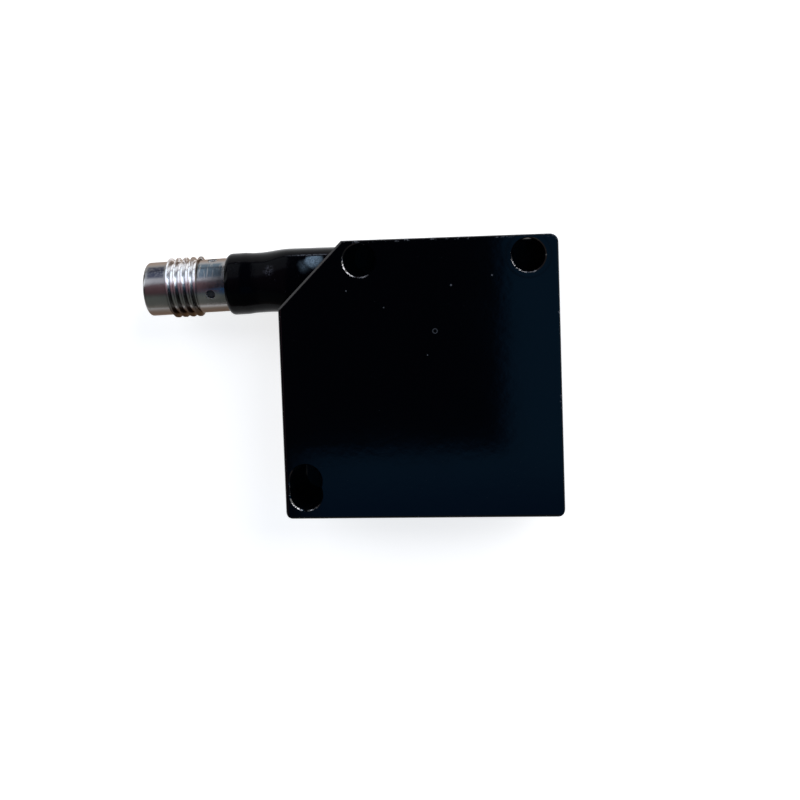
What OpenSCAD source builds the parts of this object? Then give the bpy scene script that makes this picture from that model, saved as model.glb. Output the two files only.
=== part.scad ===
// Slim reflective optical sensor: a flat square die-cast housing with one cut corner,
// three mounting holes, an optical front on +X and a moulded boot that ends in an M8 plug.
// Millimetres, +Z up. The origin is the centre of the underside, the cover side.

/* [Housing] */
// Width of the housing, from the cable side to the optical front
body_w = 35; // [33:0.5:42]
// Depth of the housing, across the light paths
body_d = 35; // [34:0.5:42]
// Thickness of the housing
body_h = 12.4; // [12:0.1:15]
// Leg of the 45 degree cut at the cable corner
corner_cut = 8.3; // [7.8:0.1:8.6]
// Bevel along the long edges of the cut corner's face
cut_bevel = 0.25; // [0.15:0.05:0.5]
// Radius of the three upright corners
corner_r = 1.1; // [0.5:0.1:1.4]
// Rounding along the housing's edges
edge_r = 0.4; // [0.2:0.05:0.6]
// Side wall of the housing
side_wall = 1.5; // [1.3:0.1:1.8]
// Front wall, which carries the window
front_wall = 2.4; // [2.2:0.1:3]
// Wall under the plain face
roof_wall = 1.5; // [1.3:0.1:1.8]

/* [Mounting holes] */
// Diameter of the round holes and width of the slot
hole_d = 4.1; // [3.4:0.1:4.2]
// From the upper edge to the round holes' centres
hole_edge = 2.5; // [2.4:0.1:3]
// From the cable side to the centre of the round hole by the cut corner
hole_left = 10.5; // [10.2:0.1:12]
// From the optical front to the centre of the other round hole
hole_right = 3.65; // [3.2:0.05:5]
// Slot, end to end
slot_len = 5.8; // [4.6:0.1:7]
// From the cable side to the slot's centre
slot_left = 2.7; // [2.5:0.1:3.6]
// From the lower edge to the slot's centre
slot_bottom = 4.05; // [3.8:0.05:5]
// Wall round each hole inside the housing
boss_wall = 1.5; // [1.2:0.1:1.7]
// Width of the broken edge at each hole's mouths
hole_break = 0.15; // [0.05:0.05:0.3]

/* [Side cover] */
// Thickness of the cover
cover_t = 1.2; // [0.9:0.1:1.4]
// Thickness of the seal under the cover's edge
seal_t = 0.3; // [0.2:0.05:0.4]
// Width of the ledge that the cover sits on
ledge_w = 0.7; // [0.5:0.05:0.8]
// Gap between the cover's edge and the housing
cover_gap = 0.1; // [0.05:0.05:0.2]

/* [Optical front] */
// From the housing's lower edge to the window pane
win_low = 3; // [2.9:0.1:4]
// From the housing's two faces to the window pane
win_edge = 2.1; // [2:0.05:2.4]
// Thickness of the window pane
pane_t = 1.1; // [0.8:0.1:1.2]
// How far the pane lies below the front face
pane_recess = 0.1; // [0.05:0.05:0.3]
// Corner radius of the pane
pane_r = 1.2; // [0.6:0.1:2]
// Thickness of the seal behind the pane
win_seal_t = 0.2; // [0.1:0.05:0.3]
// Width of the step that the pane rests on
win_step = 0.7; // [0.5:0.05:0.9]
// Gap between the pane's edge and its recess
pane_gap = 0.08; // [0.04:0.02:0.16]
// Material left between the upper front hole's boss and the pane
win_boss_gap = 0.95; // [0.6:0.05:1.5]
// From the window's upper end to the emitter's axis
emitter_in = 4.5; // [4:0.1:5.5]
// From the window's lower end to the receiver's axis
receiver_in = 6.3; // [5.7:0.1:6.7]

/* [Optics] */
// Diameter of the emitter lens
tx_lens_d = 5; // [4:0.1:5.2]
// Diameter of the receiver lens
rx_lens_d = 6.6; // [5.6:0.1:6.8]
// Radius of the lenses' curved faces
lens_curve = 6; // [5:0.5:10]
// Thickness of a lens at its rim
lens_rim = 0.8; // [0.6:0.1:1]
// Gap round a lens in its seat
lens_gap = 0.05; // [0.03:0.01:0.1]
// Length of the front bar of the optics carrier
bar_l = 5.6; // [5.4:0.1:6.5]
// Width of the receiver's light chamber inside
chamber_w = 7.4; // [6.8:0.1:7.6]
// Wall between the light chamber and the cover
chamber_floor = 1.2; // [1:0.1:1.6]
// Wall of the light chamber
chamber_wall = 1.3; // [1:0.1:1.5]
// Space between the carrier and the cover's seal
carrier_lift = 0.3; // [0.2:0.05:0.5]
// Thickness of the light baffle
baffle_t = 0.8; // [0.5:0.1:1.2]
// Diameter of the emitter can's flange
can_d = 5.6; // [4.6:0.1:5.8]
// Diameter of the emitter can's cap
cap_d = 4; // [3:0.1:4.2]
// Height of the emitter can's cap
cap_h = 2.2; // [1.6:0.1:2.3]
// Thickness of the emitter can's flange
can_t = 1; // [0.7:0.1:1.2]
// Width of the receiver chip
rx_chip_w = 5.2; // [4:0.1:6]
// Height of the receiver chip
rx_chip_h = 3.8; // [3:0.1:5]
// Thickness of the receiver chip
rx_chip_t = 0.9; // [0.6:0.1:1]

/* [Electronics] */
// Thickness of the circuit boards
board_t = 1; // [0.6:0.1:1.2]
// Length of the main board, inwards from the cable side
board_l = 15.5; // [15:0.1:16.5]
// Space between the main board and what surrounds it
board_gap = 0.8; // [0.4:0.1:1]
// Space between the main board and the receiver board
board_rx_gap = 1.2; // [0.8:0.1:1.4]
// Space above and below the two upright boards
upright_gap = 0.7; // [0.4:0.1:1.2]
// Space between the uppermost leads and the main board
lead_gap = 0.4; // [0.2:0.1:1]
// Diameter of a post
post_d = 3.2; // [2.8:0.1:3.6]
// From the main board's edges to its screws
post_inset = 1.9; // [1.7:0.1:2.2]
// Diameter of the small screws
screw_d = 1.4; // [1.2:0.1:1.6]
// Diameter of the small screws' heads
screw_head_d = 2.8; // [2.4:0.1:3]
// Height of the small screws' heads
screw_head_t = 0.9; // [0.7:0.1:1.1]
// Side of the processor
chip_w = 6; // [5:0.5:6.5]
// Height of the processor
chip_t = 1; // [0.7:0.1:1.4]
// Length of the output driver
driver_l = 4.9; // [4.4:0.1:5]
// Width of the output driver without its legs
driver_w = 3.9; // [3:0.1:4]
// Height of the output driver
driver_h = 1; // [0.8:0.1:1.5]
// Spacing of the output driver's legs
leg_pitch = 1.27; // [0.8:0.01:1.27]
// Diameter of the large capacitor
cap_can_d = 4; // [3:0.1:4.2]
// Space under the large capacitor
cap_room = 1.7; // [1.5:0.1:3]
// Width of a small capacitor
small_cap_w = 1.4; // [1:0.1:1.5]
// Length of a small capacitor
small_cap_l = 2.6; // [2:0.1:2.6]
// Thickness of the flexible strips
flex_t = 0.2; // [0.1:0.05:0.3]
// Width of the flexible strips
flex_w = 2; // [1.5:0.25:2.5]
// Diameter of the light pipe
pipe_d = 2; // [1.4:0.1:2.2]

/* [Boot] */
// From the housing's upper edge to the boot's axis
boot_edge = 4.9; // [4.8:0.05:5.4]
// Width and height of the boot's square part
boot_w = 8.3; // [7.6:0.1:8.6]
// Bevel along the square part's four edges
boot_bevel = 0.85; // [0.4:0.05:1.4]
// From the elbow to the end of the square part
square_l = 6.8; // [6.4:0.1:7.2]
// Length over which the square part turns round
blend_l = 4.3; // [3.4:0.1:4.6]
// Diameter of the round part
neck_d = 8.1; // [7.9:0.05:8.3]
// Depth of the waist between the square and the round part
waist = 0.1; // [0.02:0.02:0.2]
// From the elbow to the boot's end
boot_l = 10.85; // [10.4:0.05:12]
// Rounding of the boot's end
boot_rim_r = 0.7; // [0.3:0.05:0.9]
// Angle by which the plug hangs away from the housing's side
droop = 1.7; // [0:0.1:4]
// Diameter of the spigot that enters the housing
spigot_d = 4.8; // [4.4:0.1:5]
// Length of the spigot
spigot_l = 2.7; // [2.6:0.1:3]
// Gap round the spigot and round the plug sleeve's rear end
boot_gap = 0.05; // [0.03:0.01:0.1]
// Thickness of the boot's O-ring
oring_d = 0.9; // [0.6:0.05:1]
// Thickness of the clip that holds the spigot
clip_t = 0.5; // [0.3:0.05:0.6]

/* [Plug] */
// Visible length of the plug
plug_l = 10.75; // [10:0.05:12]
// Diameter of the smooth front part
shroud_d = 7.06; // [6.8:0.02:7.2]
// Length of the smooth front part
shroud_l = 3.1; // [2.6:0.1:3.4]
// Thread, over its crests
thread_d = 7.88; // [7.8:0.02:8]
// Thread, at its roots
root_d = 6.74; // [6.7:0.02:6.9]
// Thread pitch
pitch = 1; // [0.75:0.05:1.25]
// Length of the thread
thread_l = 4; // [3.6:0.1:4.4]
// Diameter of the smooth rear part
sleeve_d = 7; // [6.9:0.05:7.3]
// Bore of the plug
plug_bore = 5.8; // [5.6:0.05:5.9]
// Diameter of the four lock holes
lock_d = 1.25; // [0.8:0.05:1.5]
// From the plug's front end to the lock holes
lock_pos = 8.9; // [8.6:0.1:9.2]
// Turn of the lock holes about the plug's axis
lock_turn = -18; // [-45:1:45]
// Length of sleeve inside the boot
sleeve_grip = 1.6; // [1.2:0.1:2]
// Depth of the socket in front of the contact carrier
socket_depth = 5; // [4:0.1:5.6]
// Diameter of a contact pin
pin_d = 1; // [0.8:0.05:1.1]
// From the plug's axis to each pin, along both directions
pin_off = 1.1; // [1:0.05:1.2]
// How far the pin tips lie behind the plug's front end
pin_recess = 1.1; // [0.6:0.1:1.6]
// Outer diameter of a lead
lead_d = 0.84; // [0.6:0.02:0.9]

/* [Hidden] */
$fn = 64;
eps = 0.01;
far = 100;

mid_z = body_h / 2;
left_x = -body_w / 2;
front_x = body_w / 2;
top_y = body_d / 2;
low_y = -body_d / 2;

// Mounting holes and their bosses
hole_y = top_y - hole_edge;
hole_a = [left_x + hole_left, hole_y];
hole_b = [front_x - hole_right, hole_y];
slot_c = [left_x + slot_left, low_y + slot_bottom];
slot_half = (slot_len - hole_d) / 2;
boss_r = hole_d / 2 + boss_wall;

// Levels inside the housing
seat_z = cover_t + seal_t;
roof_z = body_h - roof_wall;
cut_line = top_y - left_x - corner_cut;

// Window and optics
recess_depth = pane_recess + pane_t + win_seal_t;
win_top = hole_y - boss_r - win_boss_gap;
win_bottom = low_y + win_low;
win_w = win_top - win_bottom;
win_h = body_h - 2 * win_edge;
win_y = (win_top + win_bottom) / 2;
inner_front_x = front_x - front_wall;
pane_back_x = front_x - pane_recess - pane_t;
tx_y = win_top - emitter_in;
rx_y = win_bottom + receiver_in;
bar_low_y = low_y + side_wall + 0.7;
bar_top_y = win_top - 0.2;
bar_back_x = inner_front_x - bar_l;
chamber_out = chamber_w + 2 * chamber_wall;
carrier_z = seat_z + carrier_lift;
chamber_h = 2 * (mid_z - carrier_z - chamber_floor);
seat_depth = 1.9;
web_x = inner_front_x - 2.9;
web_y = (rx_y + chamber_w / 2 + tx_y - can_d / 2) / 2;
carrier_fixings = [[web_x, web_y], [web_x, rx_y - (chamber_w + screw_head_d) / 2]];
baffle_y = web_y;
baffle_depth = 1;
carrier_head_z = roof_z - 3.4;
screw_bite = 0.9;
leg_off = 1.27;
leg_d = 0.45;
leg_out = 0.8;

// Boards
lead_off = 0.58;
board_z = mid_z + lead_off + lead_d / 2 + lead_gap;
board_top_z = board_z + board_t;
post_l = roof_z - board_top_z;
board_x0 = left_x + side_wall + board_gap;
board_x1 = board_x0 + board_l;
board_y0 = slot_c[1] + slot_half + boss_r + board_gap;
board_y1 = hole_y - boss_r - board_gap;
rx_board_x = board_x1 + board_rx_gap;
chamber_back_x = rx_board_x + board_t;
chamber_l = bar_back_x - chamber_back_x;
tx_board_x = bar_back_x - board_t;
tx_board_y0 = rx_y + chamber_out / 2 + 0.6;
tx_board_y1 = tx_y + can_d / 2 + 1.2;
upright_z = seat_z + upright_gap;
upright_h = roof_z - seat_z - 2 * upright_gap;
// The main board's corner follows the housing's cut and leaves room for the spigot
board_cut_y = board_x0 + cut_line - (spigot_l + 0.5) * sqrt(2);
left_room = 6.1;
chip_c = [board_x0 + left_room + chip_w / 2, (board_y0 + board_y1) / 2];
cap_can_h = board_z - seat_z - cap_room;
cap_c = [board_x0 + cap_can_d / 2 + 1.85, board_y0 + 4.9];
small_cap_h = 1.2;
posts = [[board_x0 + post_inset, board_y0 + post_inset], [chip_c[0] + 0.9, board_y0 + post_inset],
    [board_x1 - post_inset, board_y1 - post_inset]];
lamp_w = 3;
lamp_t = 1.3;
lamp_l = 1.2;
lamp_y = board_y0 + 5.4;
lamp_z = board_z - lamp_t / 2;
pad_land = 1.6;

// Elbow, boot and plug
elbow = [top_y - boot_edge - cut_line, top_y - boot_edge, mid_z];
front_s = boot_l + plug_l;
thread_s = front_s - shroud_l;
root_r = root_d / 2;
sleeve_r = sleeve_d / 2;
crest_r = thread_d / 2;
crests = floor(thread_l / pitch);
thread_lead = (thread_l - crests * pitch) / 2;
carrier_s = front_s - socket_depth;
sleeve_in = boot_l - sleeve_grip;
carrier_back_s = sleeve_in + 1;
pin_back_s = sleeve_in + 0.5;
channel_d = 3.2;
funnel_d = 4.6;
funnel_s = sleeve_in - 1.4;
clip_s = side_wall + 0.05;

// Directions in the plan: into the housing along the plug, then through the cut corner
plug_in = [cos(droop), sin(droop)];
plug_side = [-sin(droop), cos(droop)];
cut_in = [1, -1] / sqrt(2);
cut_side = [1, 1] / sqrt(2);
mitre_side = (plug_side + cut_side) / (1 + plug_side * cut_side);
lead_spread = 1.3;
lead_first_x = elbow[0] + 0.3;
lead_pad_y = board_cut_y - 1.2;
wire_sides = 8;

function flat_to_3d(p, z) = [p[0], p[1], z];

module rounded_rect(w, h, r) {
    square([w - 2 * r, h], center = true);
    square([w, h - 2 * r], center = true);
    for (x = [-1, 1], y = [-1, 1])
        translate([x * (w / 2 - r), y * (h / 2 - r)]) circle(r);
}

// Outline of the housing, drawn in by an inset
module plan(inset = 0) {
    difference() {
        rounded_rect(body_w - 2 * inset, body_d - 2 * inset, max(corner_r - inset, 0.3));
        translate([left_x, top_y]) rotate(45)
            square([4 * corner_cut, 2 * (corner_cut / sqrt(2) + inset)], center = true);
    }
}

// The two round holes and the slot, all with one radius
module hole_marks(r) {
    for (c = [hole_a, hole_b]) translate(c) circle(r);
    for (y = [-1, 1]) translate(slot_c + [0, y * slot_half]) circle(r);
    translate(slot_c) square([2 * r, 2 * slot_half], center = true);
}

// Bosses round the holes, filled out to the two corners that they stand in
module boss_plan(r) {
    hole_marks(r);
    translate(hole_b - [0, r]) square(far);
    translate(slot_c - [far, far]) square(far);
}

module cover_plan(gap = 0) {
    difference() {
        plan(side_wall - ledge_w + gap);
        boss_plan(boss_r - ledge_w + gap);
    }
}

module cavity_plan() {
    difference() {
        plan(side_wall);
        boss_plan(boss_r);
        translate([inner_front_x, -far / 2]) square(far);
    }
}

// Window outline on the front face, drawn in by an inset
module window_plan(inset = 0) {
    rounded_rect(win_w - 2 * inset, win_h - 2 * inset, max(pane_r - inset, 0.3));
}

// Places a shape drawn in the Y-Z plane so that it grows towards +X from x
module on_front(x, y = win_y) {
    translate([x, y, mid_z]) rotate([90, 0, 90]) children();
}

// Local +Z runs out along the plug, local +X up, from the elbow
module along_plug(turn = droop) {
    translate(elbow) rotate([0, 0, turn]) rotate([0, -90, 0]) children();
}

// Local +Z runs from the elbow through the cut corner into the housing
module through_cut() {
    translate(elbow) rotate([0, 0, -45]) rotate([0, 90, 0]) children();
}

module housing_block() {
    intersection() {
        linear_extrude(body_h) plan();
        translate([0, far / 2, mid_z]) rotate([90, 0, 0])
            linear_extrude(far) rounded_rect(body_w, body_h, edge_r);
        translate([-far / 2, 0, mid_z]) rotate([90, 0, 90])
            linear_extrude(far) rounded_rect(body_d, body_h, edge_r);
        translate(elbow) rotate([0, 0, 135]) translate([0, far / 2, 0]) rotate([90, 0, 0])
            linear_extrude(far) polygon([[-far, -mid_z], [-cut_bevel, -mid_z], [0, cut_bevel - mid_z],
                [0, mid_z - cut_bevel], [-cut_bevel, mid_z], [-far, mid_z]]);
    }
}

module broken_hole(c) {
    translate([c[0], c[1], -eps]) cylinder(d = hole_d, h = body_h + 2 * eps);
    for (end = [0, 1]) translate([c[0], c[1], end * body_h]) mirror([0, 0, end])
        translate([0, 0, -eps]) cylinder(d1 = hole_d + 2 * (hole_break + eps), d2 = hole_d, h = hole_break + eps);
}

module housing() {
    color("#14181d") difference() {
        union() {
            difference() {
                housing_block();
                translate([0, 0, -eps]) linear_extrude(seat_z + eps) cover_plan();
                translate([0, 0, seat_z - eps]) linear_extrude(roof_z - seat_z + eps) cavity_plan();
            }
            for (p = posts) translate([p[0], p[1], board_top_z]) cylinder(d = post_d, h = post_l + eps);
        }
        for (c = [hole_a, hole_b]) broken_hole(c);
        for (y = [-1, 1]) broken_hole(slot_c + [0, y * slot_half]);
        translate([slot_c[0], slot_c[1], mid_z]) cube([hole_d, 2 * slot_half, body_h + 1], center = true);
        // Recess and opening of the window
        on_front(front_x - recess_depth) linear_extrude(far) window_plan(-pane_gap);
        on_front(inner_front_x - 1) linear_extrude(far) window_plan(win_step);
        // Spigot hole and O-ring seat in the cut corner
        through_cut() translate([0, 0, -1]) cylinder(d = spigot_d + 2 * boot_gap, h = side_wall + 2);
        through_cut() translate([0, 0, -1]) cylinder(d = spigot_d + 2 * oring_d + 0.2, h = 1 + oring_d);
        // Light pipe hole in the cable side
        translate([left_x - 1, lamp_y, lamp_z]) rotate([0, 90, 0]) cylinder(d = pipe_d + 0.1, h = side_wall + 2);
        // Screw holes
        for (p = posts) translate([p[0], p[1], board_top_z - 1]) cylinder(d = screw_d, h = post_l + 1);
        for (p = carrier_fixings)
            translate([p[0], p[1], roof_z - 1]) cylinder(d = screw_d, h = 1 + screw_bite);
    }
}

module side_cover() {
    color("#1b2026") linear_extrude(cover_t) cover_plan(cover_gap);
}

module cover_seal() {
    color("#3a3d40") translate([0, 0, cover_t]) linear_extrude(seal_t) difference() {
        cover_plan(cover_gap);
        cavity_plan();
    }
}

module front_window() {
    color("#4a1218") on_front(pane_back_x) linear_extrude(pane_t) window_plan();
}

module window_seal() {
    color("#2a2c2e") on_front(pane_back_x - win_seal_t) linear_extrude(win_seal_t) difference() {
        window_plan();
        window_plan(win_step);
    }
}

module optics_carrier() {
    h = roof_z - carrier_z;
    color("#202225") difference() {
        union() {
            translate([bar_back_x, bar_low_y, carrier_z]) cube([bar_l, bar_top_y - bar_low_y, h]);
            translate([chamber_back_x, rx_y - chamber_out / 2, carrier_z]) cube([chamber_l + 1, chamber_out, h]);
        }
        // Emitter's light path: lens seat, barrel and pocket for the can
        on_front(inner_front_x - seat_depth, tx_y) cylinder(d = tx_lens_d + 2 * lens_gap, h = far);
        on_front(bar_back_x - 1, tx_y) cylinder(d = cap_d + 0.2, h = far);
        on_front(bar_back_x - 1, tx_y) cylinder(d = can_d + 0.1, h = 1 + can_t);
        // Receiver's light path: lens seat and chamber
        on_front(inner_front_x - seat_depth, rx_y) cylinder(d = rx_lens_d + 2 * lens_gap, h = far);
        on_front(bar_back_x, rx_y) cylinder(d = rx_lens_d - 1, h = far);
        translate([chamber_back_x - 1, rx_y - chamber_w / 2, mid_z - chamber_h / 2])
            cube([chamber_l + bar_l - seat_depth, chamber_w, chamber_h]);
        // Baffle slot and screw holes
        translate([inner_front_x - baffle_depth, baffle_y - baffle_t / 2, mid_z - win_h / 2])
            cube([far, baffle_t, win_h]);
        for (p = carrier_fixings) translate([p[0], p[1], 0]) {
            cylinder(d = screw_d + 0.2, h = body_h);
            cylinder(d = screw_head_d + 0.3, h = carrier_head_z);
        }
    }
}

module light_baffle() {
    h = win_h - 2 * win_step - 0.2;
    color("#0e0f10") translate([inner_front_x - baffle_depth, baffle_y - baffle_t / 2, mid_z - h / 2])
        cube([pane_back_x - inner_front_x + baffle_depth, baffle_t, h]);
}

// Plano-convex lens: flat face on the seat, curved face to the front
module lens(d) {
    sag = lens_curve - sqrt(lens_curve * lens_curve - d * d / 4);
    cylinder(d = d, h = lens_rim);
    intersection() {
        cylinder(d = d, h = lens_rim + sag + eps);
        translate([0, 0, lens_rim + sag - lens_curve]) sphere(lens_curve);
    }
}

module emitter_lens() {
    color("#cfe2ee") on_front(inner_front_x - seat_depth, tx_y) lens(tx_lens_d);
}

module receiver_lens() {
    color("#cfe2ee") on_front(inner_front_x - seat_depth, rx_y) lens(rx_lens_d);
}

module emitter() {
    color("#c9ae6a") on_front(bar_back_x, tx_y) {
        cylinder(d = can_d, h = can_t);
        cylinder(d = cap_d, h = can_t + cap_h);
        for (a = [0, 90, 180]) rotate(a) translate([leg_off, 0, -board_t - leg_out])
            cylinder(d = leg_d, h = board_t + leg_out + eps);
    }
}

module emitter_board() {
    color("#1f6a3d") difference() {
        translate([tx_board_x, tx_board_y0, upright_z]) cube([board_t, tx_board_y1 - tx_board_y0, upright_h]);
        on_front(tx_board_x - 1, tx_y) for (a = [0, 90, 180])
            rotate(a) translate([leg_off, 0, 0]) cylinder(d = leg_d + 0.15, h = board_t + 2);
    }
}

module receiver_chip() {
    color("#3c4450") translate([chamber_back_x, rx_y - rx_chip_w / 2, mid_z - rx_chip_h / 2])
        cube([rx_chip_t, rx_chip_w, rx_chip_h]);
}

module receiver_board() {
    color("#1f6a3d") translate([rx_board_x, rx_y - chamber_out / 2 + 0.2, upright_z])
        cube([board_t, chamber_out - 0.4, upright_h]);
}

// Pan-head screw, head down, with its seat at z = 0 and a cross in the head
module small_screw(l) {
    difference() {
        union() {
            translate([0, 0, -screw_head_t]) cylinder(d1 = screw_head_d - 0.6, d2 = screw_head_d, h = 0.3);
            translate([0, 0, 0.3 - screw_head_t]) cylinder(d = screw_head_d, h = screw_head_t - 0.3);
            translate([0, 0, -eps]) cylinder(d = screw_d, h = l + eps);
        }
        for (a = [0, 90]) rotate(a) translate([-0.8, -0.15, -screw_head_t - 1]) cube([1.6, 0.3, 1.45]);
    }
}

module carrier_screws() {
    color("#8d8f92") {
        for (p = carrier_fixings) translate([p[0], p[1], carrier_head_z])
            small_screw(roof_z - carrier_head_z + screw_bite - 0.1);
    }
}

module main_board() {
    color("#1f6a3d") difference() {
        translate([0, 0, board_z]) linear_extrude(board_t) polygon([[board_x0, board_y0], [board_x1, board_y0],
            [board_x1, board_y1], [board_x0 + board_y1 - board_cut_y, board_y1], [board_x0, board_cut_y]]);
        for (p = posts) translate([p[0], p[1], board_z - 1]) cylinder(d = screw_d + 0.3, h = board_t + 2);
    }
}

module board_screws() {
    color("#8d8f92") for (p = posts)
        translate([p[0], p[1], board_z]) small_screw(board_t + post_l - 0.2);
}

module processor() {
    color("#1c1d20") translate([chip_c[0] - chip_w / 2, chip_c[1] - chip_w / 2, board_z - chip_t])
        cube([chip_w, chip_w, chip_t]);
}

// Small package on the board's upper face, with four bent legs on each long side
module output_driver() {
    leg_w = 0.4;
    leg_t = 0.15;
    leg_reach = 1.1;
    stand = 0.1;
    rise = stand + driver_h / 2;
    color("#242528") translate([board_x0 + left_room / 2, board_cut_y - 0.1 - driver_l / 2, board_top_z]) {
        translate([-driver_w / 2, -driver_l / 2, stand]) cube([driver_w, driver_l, driver_h]);
        for (i = [0:3], side = [0, 1]) mirror([side, 0, 0])
            translate([driver_w / 2, (i - 1.5) * leg_pitch + leg_w / 2, 0]) rotate([90, 0, 0])
                linear_extrude(leg_w) polygon([[-eps, rise], [leg_reach / 2, rise], [leg_reach / 2, leg_t],
                    [leg_reach, leg_t], [leg_reach, 0], [leg_reach / 2 - leg_t, 0],
                    [leg_reach / 2 - leg_t, rise - leg_t], [-eps, rise - leg_t]]);
    }
}

module capacitors() {
    color("#7d868f") {
        translate([cap_c[0], cap_c[1], board_z - cap_can_h]) cylinder(d = cap_can_d, h = cap_can_h);
        for (i = [0, 1]) translate([board_x0 + left_room - 0.3, board_y0 + 0.3 + i * (small_cap_w + 0.25),
            board_z - small_cap_h]) cube([small_cap_l, small_cap_w, small_cap_h]);
    }
}

module indicator_lamp() {
    color("#f2e9c8") translate([board_x0 + 0.1, lamp_y - lamp_w / 2, board_z - lamp_t])
        cube([lamp_l, lamp_w, lamp_t]);
}

module light_pipe() {
    color("#dfe6e0") translate([left_x, lamp_y, lamp_z]) rotate([0, 90, 0]) {
        cylinder(d = pipe_d, h = side_wall + 0.4);
        translate([0, 0, side_wall]) cylinder(d = pipe_d + 0.9, h = 0.4);
    }
}

// Strip from the rear face of an upright board, at x and centred on y, to the main board's underside
module flex_strip(x, y) {
    translate([0, y + flex_w / 2, 0]) rotate([90, 0, 0]) linear_extrude(flex_w) {
        translate([x - flex_t, board_z - 1]) square([flex_t, 1]);
        translate([board_x1 - pad_land, board_z - flex_t]) square([x - board_x1 + pad_land, flex_t]);
    }
}

module receiver_flex() {
    color("#b5763a") flex_strip(rx_board_x, board_y0 + 0.4 + flex_w / 2);
}

module emitter_flex() {
    color("#b5763a") flex_strip(tx_board_x, tx_board_y0 + 0.2 + flex_w / 2);
}

// Square part of the boot, which turns round towards the plug
module boot_square() {
    half = boot_w / 2;
    flat = half - boot_bevel;
    blend_r = neck_d / 2 - waist - 0.02;
    reach = 1.35 * half;
    steps = 6;
    intersection() {
        along_plug(0) translate([0, 0, -boot_w]) linear_extrude(boot_w + square_l)
            polygon([[half, flat], [flat, half], [-flat, half], [-half, flat],
                [-half, -flat], [-flat, -half], [flat, -half], [half, -flat]]);
        along_plug() rotate_extrude() polygon(concat([[0, -boot_w], [0, square_l]],
            [for (i = [0:steps]) [blend_r + (reach - blend_r) * pow(i / steps, 2.5), square_l - blend_l * i / steps]],
            [[2 * boot_w, square_l - blend_l], [2 * boot_w, -boot_w]]));
    }
}

// Round part of the boot: waist, collar and a rounded end
module boot_neck() {
    r = neck_d / 2;
    along_plug() rotate_extrude() polygon(concat(
        [[0, square_l - blend_l], [r - waist, square_l - blend_l], [r - waist, square_l + 0.3], [r, square_l + 1.6]],
        [for (a = [0:15:90]) [r - boot_rim_r + boot_rim_r * cos(a), boot_l - boot_rim_r + boot_rim_r * sin(a)]],
        [[0, boot_l]]));
}

module boot() {
    color("#0f1012") difference() {
        union() {
            // Mitred to the cut corner's face
            difference() {
                union() {
                    boot_square();
                    boot_neck();
                }
                through_cut() translate([0, 0, far / 2]) cube(far, center = true);
            }
            through_cut() translate([0, 0, -2]) cylinder(d = spigot_d, h = spigot_l + 2);
        }
        // Clip groove
        through_cut() translate([0, 0, clip_s - 0.02]) difference() {
            cylinder(d = 2 * spigot_d, h = clip_t + 0.04);
            translate([0, 0, -1]) cylinder(d = spigot_d - 0.6, h = clip_t + 2);
        }
        // Channel for the leads, seat for the sleeve
        through_cut() cylinder(d = channel_d, h = far);
        translate(elbow) sphere(d = channel_d);
        along_plug() cylinder(d = channel_d, h = boot_l);
        along_plug() translate([0, 0, funnel_s]) cylinder(d1 = channel_d, d2 = funnel_d, h = sleeve_in - funnel_s);
        along_plug() translate([0, 0, sleeve_in]) cylinder(d = sleeve_d + 2 * boot_gap, h = far);
    }
}

module boot_seal() {
    color("#17181a") through_cut() translate([0, 0, oring_d / 2]) rotate_extrude()
        translate([spigot_d / 2 + 0.05 + oring_d / 2, 0]) circle(oring_d / 2);
}

module boot_clip() {
    color("#9a9ca0") through_cut() translate([0, 0, clip_s]) difference() {
        cylinder(d = spigot_d + 1.4, h = clip_t);
        translate([0, 0, -1]) cylinder(d = spigot_d - 0.5, h = clip_t + 2);
        translate([0, -spigot_d / 2 + 0.4, -1]) cube([spigot_d, spigot_d - 0.8, clip_t + 2]);
    }
}

// Outer line of the thread: one ridge with 60 degree flanks for each crest, from the front backwards
function ridge(i) = let (
        s = thread_s - thread_lead - (i + 0.5) * pitch,
        crest = pitch / 16,
        flank = (crest_r - root_r) * tan(30))
    [[root_r, s + crest + flank], [crest_r, s + crest], [crest_r, s - crest], [root_r, s - crest - flank]];

module plug_sleeve() {
    r = shroud_d / 2;
    rim = 0.35;
    bore_r = plug_bore / 2;
    color("#b8b5ae") difference() {
        along_plug() rotate_extrude() polygon(concat(
            [[bore_r, sleeve_in], [bore_r, front_s - 0.2], [bore_r + 0.2, front_s]],
            [for (a = [90:-15:0]) [r - rim + rim * cos(a), front_s - rim + rim * sin(a)]],
            [[r, thread_s], [root_r, thread_s - (r - root_r)]],
            [for (i = [0:crests - 1]) each ridge(i)],
            [[root_r, thread_s - thread_l + (sleeve_r - root_r)], [sleeve_r, thread_s - thread_l], [sleeve_r, sleeve_in]]));
        for (i = [0:3]) along_plug() translate([0, 0, front_s - lock_pos])
            rotate([0, 0, lock_turn + 90 * i]) rotate([0, 90, 0]) cylinder(d = lock_d, h = thread_d);
    }
}

module contact_carrier() {
    key_w = 0.9;
    key_h = 0.62;
    key_l = 3;
    color("#1d1e20") along_plug() {
        difference() {
            translate([0, 0, carrier_back_s]) cylinder(d = plug_bore - 0.1, h = carrier_s - carrier_back_s);
            for (x = [-1, 1], y = [-1, 1]) translate([x * pin_off, y * pin_off, 0]) cylinder(d = pin_d + 0.04, h = far);
        }
        translate([plug_bore / 2 - key_h - 0.13, -key_w / 2, carrier_s - eps]) cube([key_h, key_w, key_l]);
    }
}

module contact_pins() {
    color("#d2b050") along_plug() for (x = [-1, 1], y = [-1, 1]) translate([x * pin_off, y * pin_off, 0]) {
        translate([0, 0, pin_back_s]) cylinder(d = pin_d, h = front_s - pin_recess - pin_back_s - 0.3);
        translate([0, 0, front_s - pin_recess - 0.3]) cylinder(d1 = pin_d, d2 = pin_d - 0.4, h = 0.3);
    }
}

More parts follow.
